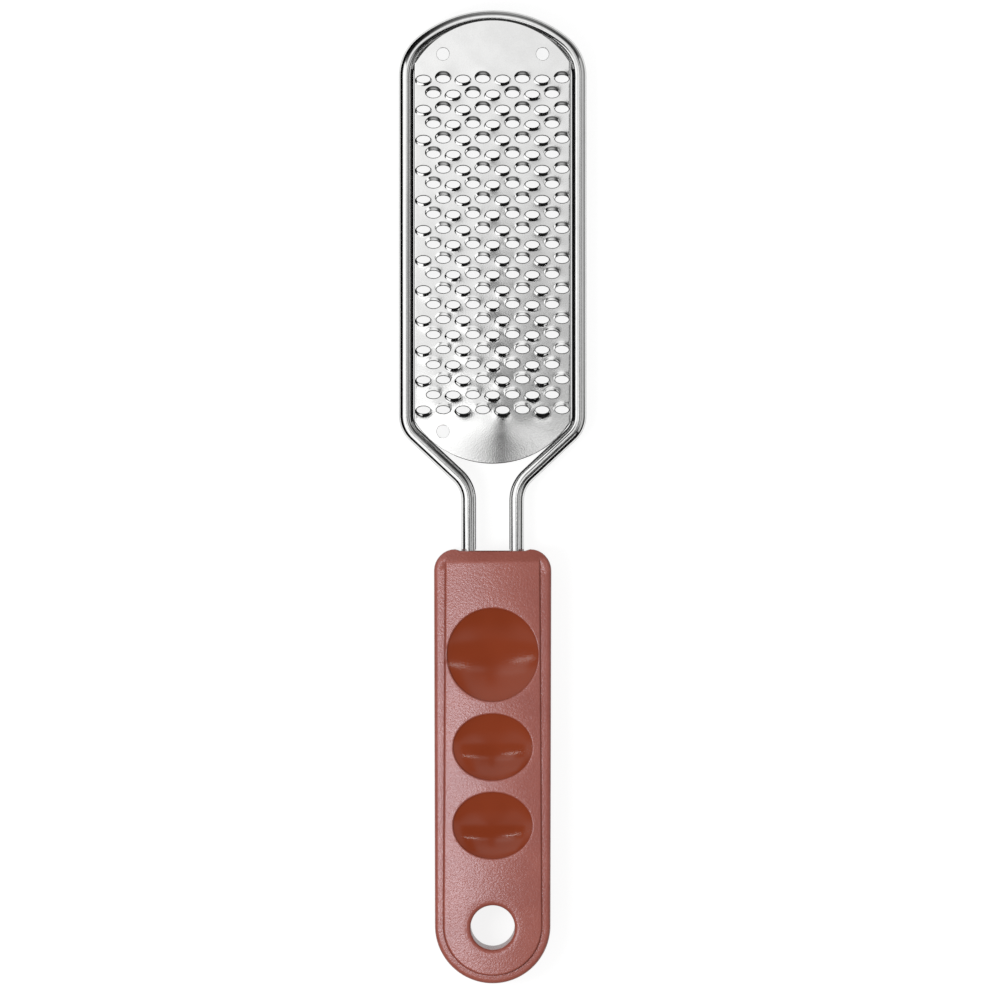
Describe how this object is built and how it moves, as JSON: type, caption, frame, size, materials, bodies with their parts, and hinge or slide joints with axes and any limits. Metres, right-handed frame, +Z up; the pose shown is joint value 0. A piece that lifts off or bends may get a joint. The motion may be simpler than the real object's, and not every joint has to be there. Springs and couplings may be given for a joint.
{
  "type": "foot file",
  "caption": "Hand held foot file: a grater plate with raised oval teeth on a bent rod frame, and a brown moulded handle with thumb and finger dishes and a hang hole.",
  "frame": {"origin": "on the surface that the tool lies on, under the middle of its box; the tool lies on the flat back of its handle with the teeth up", "axes": "+X across the tool, +Y from the handle to the tip, +Z up from the back of the handle to the side that carries the teeth"},
  "size_m": [0.0502, 0.26, 0.0158],
  "materials": {
    "polished_sheet": "polished",
    "polished_rod": "polished",
    "glossy_brown": "satin gloss",
    "grained_brown": "fine grained, matte"
  },
  "bodies": {
    "root": {"grater_plate": "polished_sheet", "wire_frame": "polished_rod", "handle_core": "glossy_brown", "handle_grip": "grained_brown"}
  },
  "joints": []
}
